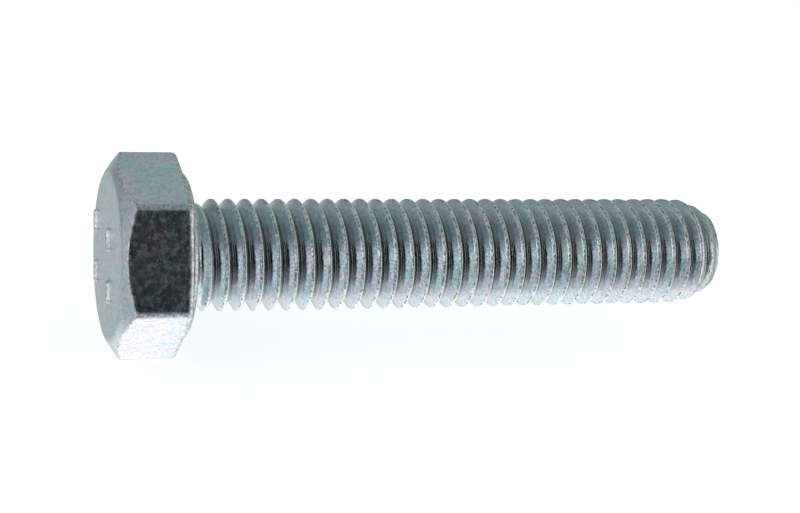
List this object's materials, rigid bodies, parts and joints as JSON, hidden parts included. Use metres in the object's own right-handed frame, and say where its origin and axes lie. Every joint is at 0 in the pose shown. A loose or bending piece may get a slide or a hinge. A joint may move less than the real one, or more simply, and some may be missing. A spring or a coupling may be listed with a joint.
{
  "type": "hex bolt",
  "caption": "Zinc-plated hexagon head bolt with a washer face, threaded right up to the head.",
  "frame": {"origin": "on the bolt's axis, in the bearing face under the head", "axes": "+X along the axis towards the tip, +Z the normal of one of the head's flats, +Y to the left of someone looking from the head along +X"},
  "size_m": [0.0569, 0.0178, 0.0156],
  "materials": {
    "zinc_plated_steel": "bright zinc plating, slightly mottled, over forged and rolled steel"
  },
  "bodies": {
    "root": {"hex_bolt": "zinc_plated_steel"}
  },
  "joints": []
}
